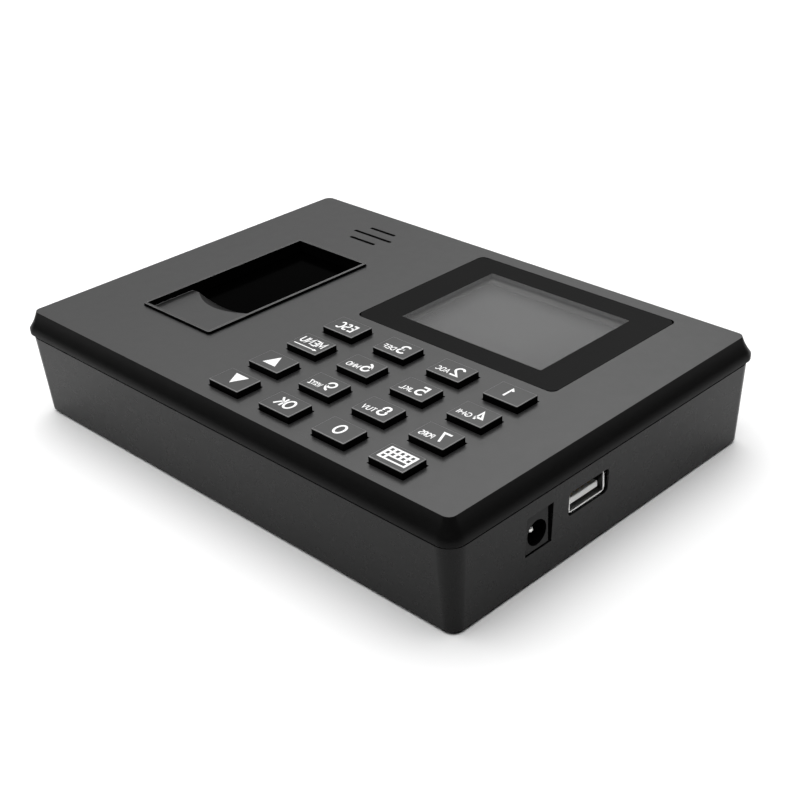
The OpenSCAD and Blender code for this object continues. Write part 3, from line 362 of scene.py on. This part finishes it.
MATERIALS = {
    "cover_plastic": plastic("cover_plastic", (0.008, 0.008, 0.008), 0.37, 0.5, 0.32, 0.008, 0.05),
    "bezel_plastic": plastic("bezel_plastic", (0.008, 0.008, 0.008), 0.36, 0.5, 0.32, 0.006, 0.05),
    "case_plastic": plastic("case_plastic", (0.004, 0.004, 0.004), 0.28, 0.14, 0.35, 0.006, 0.05),
    "key_plastic": plastic("key_plastic", (0.009, 0.009, 0.009), 0.37, 0.5, 0.25, 0.004, 0.05),
    "foot_rubber": plastic("foot_rubber", (0.018, 0.018, 0.018), 0.75, 0.3, 0.5, 0.03),
    "screw_steel": brushed("screw_steel", (0.42, 0.42, 0.43), 0.32),
    "lens": plastic("lens", (0.0045, 0.0045, 0.0045), 0.3, 0.02, 0.6, 0.001, 0.05),
    "black_tape": plastic("black_tape", (0.01, 0.01, 0.01), 0.85, 0.2, 0.3, 0.05),
    "foam": plastic("foam", (0.15, 0.15, 0.15), 0.85, 0.1, 0.4, 0.02, 0.05),
    "lcd_glass": plastic("lcd_glass", (0.15, 0.15, 0.152), 0.3, 0.4, 0.8, 0.001, 0.05),
    "white_plastic": plastic("white_plastic", (0.86, 0.86, 0.84), 0.45, 0.5, 0.4, 0.006, 0.03),
    "ivory_plastic": plastic("ivory_plastic", (0.66, 0.61, 0.5), 0.45, 0.5, 0.4, 0.006, 0.04),
    "sheet_steel": brushed("sheet_steel", (0.55, 0.55, 0.56), 0.3),
    "flex_film": plastic("flex_film", (0.42, 0.17, 0.03), 0.3, 0.5, 0.6, 0.003, 0.15),
    "silicone": plastic("silicone", (0.42, 0.42, 0.4), 0.55, 0.4, 0.5, 0.008, 0.05),
    "scan_glass": plastic("scan_glass", (0.0002, 0.0002, 0.0002), 0.14, 0.003, 1.0, 0.0005),
    "clear_glass": plastic("clear_glass", (0.6, 0.72, 0.76), 0.05, 0.6, 1.0, 0.0005, 0.04),
    "inner_plastic": plastic("inner_plastic", (0.012, 0.012, 0.012), 0.6, 0.4, 0.4, 0.015),
    "circuit_board": circuit_board("circuit_board"),
    "lead_red": plastic("lead_red", (0.35, 0.02, 0.02), 0.35, 0.5, 0.4, 0.004),
    "lead_black": plastic("lead_black", (0.012, 0.012, 0.012), 0.35, 0.5, 0.4, 0.004),
    "speaker_steel": plastic("speaker_steel", (0.04, 0.04, 0.04), 0.4, 0.5, 0.4, 0.006),
    "speaker_film": plastic("speaker_film", (0.3, 0.3, 0.29), 0.35, 0.5, 0.5, 0.004),
    "magnet": brushed("magnet", (0.6, 0.6, 0.58), 0.2, (1, 1, 1)),
    "chip_resin": plastic("chip_resin", (0.011, 0.011, 0.011), 0.55, 0.4, 0.2, 0.01),
    "capacitor_sleeve": plastic("capacitor_sleeve", (0.012, 0.018, 0.04), 0.3, 0.5, 0.5, 0.003),
    "ferrite": plastic("ferrite", (0.03, 0.03, 0.032), 0.6, 0.4, 0.25, 0.02),
    "cell_steel": brushed("cell_steel", (0.62, 0.62, 0.61), 0.25, (1, 1, 1)),
    "socket_steel": brushed("socket_steel", (0.86, 0.86, 0.85), 0.22),
    "gold_contact": brushed("gold_contact", (0.83, 0.6, 0.24), 0.25),
    "jack_plastic": plastic("jack_plastic", (0.004, 0.004, 0.004), 0.28, 0.12, 0.35, 0.006, 0.05),
    "pin_metal": brushed("pin_metal", (0.9, 0.9, 0.88), 0.45, (1, 1, 1)),
    "legend_white": plastic("legend_white", (0.78, 0.78, 0.78), 0.5, 0.4, 0.3, 0.006, 0.03),
}
WINDOW = clear_window("lens_window")
# Painted shade: a near-black, almost unglossy copy of the plastic, put on the walls of the keys, the inlet and the
# bezel.
PAINTED_SHADE_WALL = plastic("painted_shade_wall", (0.0015, 0.0015, 0.0015), 0.4, 0.03, 0.3, 0.004)
# Painted highlight on the rounded edges of the keys and the bezel.
EDGE = painted_highlight_edge("painted_highlight_edge")
PANE_EDGE = plastic("pane_edge", (0.11, 0.11, 0.11), 0.6, 0.1, 0.5, 0.003, 0.05)
# Painted shade: a dark copy of the socket steel for the inside of the USB shell.
SHELL_INSIDE_PAINTED_SHADE = brushed("shell_inside_painted_shade", (0.16, 0.16, 0.158), 0.4)
# Painted shade: a darker, less glossy copy of the cover plastic for the cover's sloping sides.
COVE_PAINTED_SHADE = plastic("cove_painted_shade", (0.003, 0.003, 0.003), 0.38, 0.08, 0.32, 0.008, 0.05)
# Painted shade: a darker, less glossy copy of the bezel plastic for the scoop's slope.
SLOPE_PAINTED_SHADE = plastic("scoop_slope_painted_shade", (0.004, 0.004, 0.004), 0.34, 0.08, 0.3, 0.004)


# ---- Mesh helpers ----

def add_object(name, mesh, materials, body, replaces=()):
    piece = bpy.data.objects.new(name, mesh)
    bpy.context.scene.collection.objects.link(piece)
    chosen = [face.material_index for face in mesh.polygons]
    mesh.materials.clear()
    for mat in materials:
        mesh.materials.append(mat)
    for face, index in zip(mesh.polygons, chosen):
        face.material_index = index
    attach(piece, body)
    if replaces:
        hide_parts(*replaces)
    return piece


def mesh_of(bm, name):
    """A mesh made of a bmesh, which is then freed."""
    mesh = bpy.data.meshes.new(name)
    bm.to_mesh(mesh)
    bm.free()
    return mesh


def thicken(bm, depth):
    """Gives flat faces a thickness downwards."""
    grown = bmesh.ops.extrude_face_region(bm, geom=bm.faces[:])
    lowered = [g for g in grown["geom"] if isinstance(g, bmesh.types.BMVert)]
    bmesh.ops.translate(bm, verts=lowered, vec=(0, 0, -depth))
    bmesh.ops.recalc_face_normals(bm, faces=bm.faces)


def cleaned_mesh(node, choose=None):
    """A copy of a CAD node's mesh, welded, with flat faces merged and each face given a material."""
    mesh = NODES[node].data.copy()
    bm = bmesh.new()
    bm.from_mesh(mesh)
    bmesh.ops.remove_doubles(bm, verts=bm.verts, dist=WELD)
    bmesh.ops.dissolve_limit(bm, angle_limit=math.radians(FLAT_ANGLE), verts=bm.verts, edges=bm.edges)
    for face in bm.faces:
        face.smooth = True
        face.normal_update()
        face.material_index = choose(face) if choose else 0
    bm.to_mesh(mesh)
    bm.free()
    return mesh


def soften(piece, width, edge_material=-1):
    """Rounds the sharp edges of a piece by the given width in millimetres."""
    bevel = piece.modifiers.new("rounded_edges", "BEVEL")
    bevel.width = width * MM
    bevel.segments = EDGE_STEPS
    bevel.limit_method = "ANGLE"
    bevel.angle_limit = math.radians(EDGE_ANGLE)
    bevel.harden_normals = True
    bevel.miter_outer = "MITER_ARC"
    bevel.use_clamp_overlap = True
    bevel.material = edge_material
    normals = piece.modifiers.new("even_normals", "WEIGHTED_NORMAL")
    normals.keep_sharp = False
    normals.weight = 60


def refined(node, width, body=ROOT, materials=(), choose=None, edge_material=-1):
    """The CAD node's shape with rounded edges, standing for the node."""
    slot = SLOTS[node]
    looks = [MATERIALS[slot], *materials]
    piece = add_object(node + "_skin", cleaned_mesh(node, choose), looks, body, [node])
    soften(piece, width, edge_material=edge_material)
    return piece


# ---- Key legends ----

def arc(cx, cy, rx, ry, start, end, steps=18):
    """Points along an ellipse from one angle to another, in degrees."""
    points = []
    for i in range(steps + 1):
        turn = math.radians(start + (end - start) * i / steps)
        points.append((cx + rx * math.cos(turn), cy + ry * math.sin(turn)))
    return points


def ellipse(cx, cy, rx, ry):
    return arc(cx, cy, rx, ry, 90, 450, 28)


def bowl(x, top, bottom, width):
    """The round half of a D, P, B or R, opening to the left."""
    r = (top - bottom) / 2
    flat = max(width - r, 0.05)
    return [(x, top), *arc(x + flat, bottom + r, width - flat, r, 90, -90, 12), (x, bottom)]


# Each glyph has a width and strokes, in capital heights.
GLYPHS = {
    "0": (0.72, [ellipse(0.36, 0.5, 0.36, 0.5)]),
    "1": (0.28, [[(0, 0.78), (0.28, 1), (0.28, 0)]]),
    "2": (0.6, [[*arc(0.3, 0.7, 0.3, 0.3, 165, -35, 16), (0, 0), (0.6, 0)]]),
    "3": (0.6, [[*arc(0.28, 0.745, 0.28, 0.255, 155, -90, 14), *arc(0.28, 0.255, 0.31, 0.255, 90, -155, 14)]]),
    "4": (0.66, [[(0.5, 0), (0.5, 1), (0, 0.28), (0.66, 0.28)]]),
    "5": (0.6, [[(0.55, 1), (0.08, 1), (0.05, 0.54), *arc(0.28, 0.31, 0.32, 0.31, 120, -150, 16)]]),
    "6": (0.62, [ellipse(0.31, 0.31, 0.31, 0.31), arc(0.55, 0.33, 0.55, 0.67, 97, 180, 12)]),
    "7": (0.6, [[(0, 1), (0.6, 1), (0.2, 0)]]),
    "8": (0.62, [ellipse(0.31, 0.75, 0.25, 0.25), ellipse(0.31, 0.26, 0.31, 0.26)]),
    "9": (0.62, [ellipse(0.31, 0.69, 0.31, 0.31), arc(0.07, 0.67, 0.55, 0.67, -83, 0, 12)]),
    "A": (0.72, [[(0, 0), (0.36, 1), (0.72, 0)], [(0.13, 0.34), (0.59, 0.34)]]),
    "B": (0.6, [[(0, 0), (0, 1)], bowl(0, 1, 0.53, 0.55), bowl(0, 0.53, 0, 0.6)]),
    "C": (0.66, [arc(0.36, 0.5, 0.36, 0.5, 45, 315, 18)]),
    "D": (0.66, [[(0, 0), (0, 1)], bowl(0, 1, 0, 0.66)]),
    "E": (0.52, [[(0.52, 1), (0, 1), (0, 0), (0.52, 0)], [(0, 0.52), (0.46, 0.52)]]),
    "F": (0.5, [[(0.5, 1), (0, 1), (0, 0)], [(0, 0.5), (0.44, 0.5)]]),
    "G": (0.7, [[*arc(0.36, 0.5, 0.36, 0.5, 45, 335, 18), (0.7, 0.46), (0.42, 0.46)]]),
    "H": (0.62, [[(0, 0), (0, 1)], [(0.62, 0), (0.62, 1)], [(0, 0.5), (0.62, 0.5)]]),
    "I": (0.05, [[(0.025, 0), (0.025, 1)]]),
    "J": (0.42, [[(0.42, 1), (0.42, 0.25), *arc(0.21, 0.23, 0.21, 0.23, 0, -170, 10)]]),
    "K": (0.6, [[(0, 0), (0, 1)], [(0.56, 1), (0.02, 0.42)], [(0.2, 0.6), (0.6, 0)]]),
    "L": (0.48, [[(0, 1), (0, 0), (0.48, 0)]]),
    "M": (0.75, [[(0, 0), (0, 1), (0.375, 0.25), (0.75, 1), (0.75, 0)]]),
    "N": (0.62, [[(0, 0), (0, 1), (0.62, 0), (0.62, 1)]]),
    "O": (0.76, [ellipse(0.38, 0.5, 0.38, 0.5)]),
    "P": (0.56, [[(0, 0), (0, 1)], bowl(0, 1, 0.45, 0.56)]),
    "Q": (0.76, [ellipse(0.38, 0.5, 0.38, 0.5), [(0.46, 0.25), (0.76, -0.05)]]),
    "R": (0.6, [[(0, 0), (0, 1)], bowl(0, 1, 0.47, 0.56), [(0.3, 0.47), (0.6, 0)]]),
    "S": (0.58, [[*arc(0.29, 0.745, 0.26, 0.255, 35, 270, 14), *arc(0.29, 0.245, 0.29, 0.245, 90, -145, 14)]]),
    "T": (0.6, [[(0, 1), (0.6, 1)], [(0.3, 1), (0.3, 0)]]),
    "U": (0.62, [[(0, 1), (0, 0.31), *arc(0.31, 0.31, 0.31, 0.31, 180, 360, 12), (0.62, 1)]]),
    "V": (0.68, [[(0, 1), (0.34, 0), (0.68, 1)]]),
    "W": (0.9, [[(0, 1), (0.22, 0), (0.45, 0.85), (0.68, 0), (0.9, 1)]]),
    "X": (0.64, [[(0, 1), (0.64, 0)], [(0, 0), (0.64, 1)]]),
    "Y": (0.64, [[(0, 1), (0.32, 0.48), (0.64, 1)], [(0.32, 0.48), (0.32, 0)]]),
    "Z": (0.6, [[(0, 1), (0.6, 1), (0, 0), (0.6, 0)]]),
}
GLYPH_GAP = 0.24
JOIN_LIMIT = 2.2


def corner_offset(before, point, after, half):
    """Where a stroke's side lies at a corner, as an offset to the left of its path."""
    a = (point - before).normalized() if before else (after - point).normalized()
    b = (after - point).normalized() if after else a
    left = Vector((-a.y - b.y, a.x + b.x))
    if left.length < 0.3:
        return Vector((-a.y, a.x)) * half
    left.normalize()
    share = left.dot(Vector((-a.y, a.x)))
    return left * half * min(1 / share, JOIN_LIMIT)


def ribbon(points, width):
    """The two sides of a flat strip of constant width along a path, as a list of point pairs."""
    path = [Vector(p) for p in points]
    path = [p for i, p in enumerate(path) if i == 0 or (p - path[i - 1]).length > 1e-7]
    closed = (path[0] - path[-1]).length < 1e-6
    sides = []
    last = len(path) - 1
    for i, point in enumerate(path):
        before = path[i - 1] if i > 0 else (path[-2] if closed else None)
        after = path[i + 1] if i < last else (path[1] if closed else None)
        offset = corner_offset(before, point, after, width / 2)
        sides.append((point + offset, point - offset))
    if closed:
        sides[-1] = sides[0]
    return sides


def written(text, box, width):
    """A word's strips, its outline filling a box in metres, with strokes of one width."""
    x0, y0, x1, y1 = box
    spans = [GLYPHS[c][0] for c in text]
    total = sum(spans) + GLYPH_GAP * (len(text) - 1)
    scale_x = (x1 - x0 - width) / total if len(text) > 1 or spans[0] > 0.1 else 0
    scale_y = y1 - y0 - width
    strips = []
    cursor = 0
    for c, span in zip(text, spans):
        for stroke in GLYPHS[c][1]:
            path = [(x0 + width / 2 + (cursor + x) * scale_x, y0 + width / 2 + y * scale_y) for x, y in stroke]
            strips.append(ribbon(path, width))
        cursor += span + GLYPH_GAP
    return strips


def arrow_head(box, points_up):
    x0, y0, x1, y1 = box
    tip, foot = (y1, y0) if points_up else (y0, y1)
    middle = (x0 + x1) / 2
    return [[((x0, foot), (x1, foot)), ((middle, tip), (middle, tip))]]


def menu_arrow(box):
    """A line that ends in an arrow head on the left."""
    x0, y0, x1, y1 = box
    middle = (y0 + y1) / 2
    half = (y1 - y0) * 0.16
    head = x0 + (y1 - y0) * 1.1
    line = [((head, middle - half), (head, middle + half)), ((x1, middle - half), (x1, middle + half))]
    return [line, [((x0, middle), (x0, middle)), ((head, y0), (head, y1))]]


def keyboard_icon(box):
    """A keyboard: a plate with two rows of square holes, and a long hole and a square one below."""
    x0, y0, x1, y1 = box
    hole_x, hole_y = 0.105 * (x1 - x0), 0.20 * (y1 - y0)
    bar_x = (x1 - x0 - 5 * hole_x) / 6
    bar_y = (y1 - y0 - 3 * hole_y) / 4
    xs, ys = [x0], [y0]
    for i in range(11):
        xs.append(xs[-1] + (hole_x if i % 2 else bar_x))
    for i in range(7):
        ys.append(ys[-1] + (hole_y if i % 2 else bar_y))
    strips = []
    for row in range(7):
        for col in range(11):
            hole = row % 2 == 1 and (col % 2 == 1 or (row == 1 and 1 < col < 7))
            if not hole:
                strips.append([((xs[col], ys[row]), (xs[col], ys[row + 1])),
                               ((xs[col + 1], ys[row]), (xs[col + 1], ys[row + 1]))])
    return strips


BOLD = 0.62 * MM
SMALL = 0.3 * MM
DIGIT_BOX = (0.19, 0.22, 0.455, 0.79)
LETTER_BOX = (0.49, 0.22, 0.88, 0.48)

# Each word is its text, its box in fractions of the key's top, and its stroke width.
WORDS = {
    "key_0": [("0", (0.35, 0.25, 0.63, 0.80), BOLD)],
    "key_1": [("1", (0.47, 0.24, 0.60, 0.80), BOLD)],
    "key_esc": [("ESC", (0.22, 0.24, 0.79, 0.72), 0.55 * MM)],
    "key_menu": [("MENU", (0.12, 0.40, 0.89, 0.80), 0.42 * MM)],
    "key_ok": [("OK", (0.24, 0.27, 0.77, 0.80), 0.6 * MM)],
}
for digit, letters in zip("23456789", ("ABC", "DEF", "GHI", "JKL", "MNO", "PQRS", "TUV", "WXYZ")):
    WORDS["key_" + digit] = [(digit, DIGIT_BOX, BOLD), (letters, LETTER_BOX, SMALL)]

# Each sign is its shape and its box in fractions of the key's top.
SIGNS = {
    "key_menu": [(menu_arrow, (0.12, 0.16, 0.89, 0.30))],
    "key_up": [(lambda box: arrow_head(box, True), (0.28, 0.26, 0.705, 0.83))],
    "key_down": [(lambda box: arrow_head(box, False), (0.28, 0.26, 0.705, 0.83))],
    "key_ime": [(keyboard_icon, (0.10, 0.20, 0.89, 0.86))],
}
LEGEND_DEPTH = 0.04 * MM
TOP_SLACK = 0.01 * MM


def legend_strips(key, width, depth):
    """A key's legend as flat strips in metres from the corner of the key's top, as it reads."""
    def sized(box):
        return box[0] * width, box[1] * depth, box[2] * width, box[3] * depth

    strips = []
    for text, box, stroke in WORDS.get(key, []):
        strips += written(text, sized(box), stroke)
    for shape, box in SIGNS.get(key, []):
        strips += shape(sized(box))
    return strips


def add_strip(bm, strip, low, high):
    """Adds one strip's faces, reversed left to right, sharing corners along the strip."""
    known = {}

    def corner(point):
        spot = (round((high.x - point[0]) / MM, 4), round((low.y + point[1]) / MM, 4))
        if spot not in known:
            known[spot] = bm.verts.new((high.x - point[0], low.y + point[1], high.z))
        return known[spot]

    for (a, b), (c, d) in zip(strip, strip[1:]):
        corners = []
        for point in (a, b, d, c):
            vert = corner(point)
            if vert not in corners:
                corners.append(vert)
        if len(corners) > 2:
            face = bm.faces.new(corners)
            face.normal_update()
            if face.normal.z < 0:
                face.normal_flip()


def make_legend(key, low, high):
    """Prints a key's legend on its top, reversed left to right as this example has it."""
    bm = bmesh.new()
    for strip in legend_strips(key, high.x - low.x, high.y - low.y):
        add_strip(bm, strip, low, high)
    thicken(bm, 2 * LEGEND_DEPTH)
    add_object(key + "_legend", mesh_of(bm, key + "_legend"), [MATERIALS["legend_white"]], key)


# Key walls take the painted shade; the key's top keeps its plastic.
def key_face(face):
    return 1 if abs(face.normal.z) < 0.5 else 0


def make_key(key):
    """A key with a painted highlight on its top edges, which also have a slightly worn roughness, walls painted dark
    as shade, and its printed legend.
    """
    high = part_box(key)[1]
    piece = refined(key, KEY_EDGE, key, [PAINTED_SHADE_WALL, EDGE], key_face, 2)
    top = [v for v in piece.data.vertices if v.co.z > high.z - TOP_SLACK]
    xs = [v.co.x for v in top]
    ys = [v.co.y for v in top]
    cap_low = Vector((min(xs), min(ys), high.z))
    cap_high = Vector((max(xs), max(ys), high.z))
    for v in top:
        v.co.z = high.z - LEGEND_DEPTH
    make_legend(key, cap_low, cap_high)


# ---- Display ----

def rounded_outline(low, high, radius, steps=8):
    """The points of a rounded rectangle, anticlockwise."""
    corners = ((high.x - radius, high.y - radius, 0), (low.x + radius, high.y - radius, 90),
               (low.x + radius, low.y + radius, 180), (high.x - radius, low.y + radius, 270))
    return [p for x, y, turn in corners for p in arc(x, y, radius, radius, turn, turn + 90, steps)]


def make_lens():
    """The lens: a black printed border round a clear pane that shows the display beneath."""
    low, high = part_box("display_lens")
    panel_low, panel_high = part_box("lcd_panel")
    view_low = panel_low + PANEL_MARGIN
    view_high = panel_high - PANEL_MARGIN
    outer = rounded_outline(low, high, LENS_CORNER)
    inner = rounded_outline(view_low, view_high, WINDOW_CORNER)
    bm = bmesh.new()
    levels = [[[bm.verts.new((x, y, z)) for x, y in ring] for ring in (outer, inner)] for z in (high.z, low.z)]
    (top_out, top_in), (low_out, low_in) = levels
    count = len(outer)
    for i in range(count):
        j = (i + 1) % count
        for ring in ((top_out[i], top_out[j], top_in[j], top_in[i]), (low_in[i], low_in[j], low_out[j], low_out[i]),
                     (low_out[i], low_out[j], top_out[j], top_out[i]), (top_in[i], top_in[j], low_in[j], low_in[i])):
            bm.faces.new(ring)
    bmesh.ops.recalc_face_normals(bm, faces=bm.faces)
    inside = set(top_in) | set(low_in)
    for face in bm.faces:
        face.material_index = 1 if inside.issuperset(face.verts) else 0
    looks = [MATERIALS["lens"], PANE_EDGE]
    border = add_object("lens_border", mesh_of(bm, "lens_border"), looks, ROOT, ["display_lens"])
    soften(border, LENS_EDGE)
    bm = bmesh.new()
    slack = Vector((1, 1, 0)) * PANE_GAP
    pane_outline = rounded_outline(view_low + slack, view_high - slack, WINDOW_CORNER - PANE_GAP)
    bm.faces.new([bm.verts.new((x, y, high.z - PANE_SUNK)) for x, y in pane_outline])
    thicken(bm, high.z - low.z - 2 * PANE_SUNK)
    add_object("lens_pane", mesh_of(bm, "lens_pane"), [WINDOW], ROOT, ["display_lens"])
    middle = (view_low + view_high) / 2
    face_z = panel_high.z
    spread = ((view_high.x - view_low.x) * 0.6, (view_high.y - view_low.y) * 0.72, 0.02)
    NODES["lcd_panel"].data.materials.clear()
    NODES["lcd_panel"].data.materials.append(display_panel("lcd_face", (middle.x, middle.y, face_z), spread))


# ---- Which material each face takes ----

def bezel_face(face):
    """Walls take the painted shade, and the scoop's slope takes a nearly as dark, less glossy copy of the bezel
    plastic, also painted shade.
    """
    if abs(face.normal.z) < 0.3:
        return 1
    return 2 if 0 < face.normal.z < 0.97 else 0


def cover_face(face):
    """The cover's sloping sides take a darker, less glossy copy of its plastic as painted shade."""
    return 0 if abs(face.normal.z) > 0.97 else 1


def jack_face(face):
    """The inlet's bore and sides are painted dark as shade."""
    return 1 if abs(face.normal.x) < 0.5 else 0


def shell_face(face):
    """Only the socket's mouth keeps the bright steel; its inside is painted darker as shade."""
    return 0 if face.calc_center_median().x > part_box("usb_shell")[1].x - SHELL_MOUTH else 1


# ---- Assembly ----

bpy.context.scene.view_settings.view_transform = "Standard"
make_camera()
make_stage()

for node, obj in NODES.items():
    obj.data.materials.clear()
    obj.data.materials.append(MATERIALS[SLOTS[node]])

for node, width in SKIN_EDGES.items():
    refined(node, width)
refined("dc_jack_body", JACK_EDGE, ROOT, [PAINTED_SHADE_WALL], jack_face)
refined("usb_shell", SHELL_EDGE, ROOT, [SHELL_INSIDE_PAINTED_SHADE], shell_face)
refined("sensor_bezel", COVER_EDGE, ROOT, [PAINTED_SHADE_WALL, SLOPE_PAINTED_SHADE, EDGE], bezel_face, 3)
refined("top_cover", COVER_EDGE, ROOT, [COVE_PAINTED_SHADE], cover_face)
for name in frame["bodies"]:
    if name != ROOT:
        make_key(name)
make_lens()
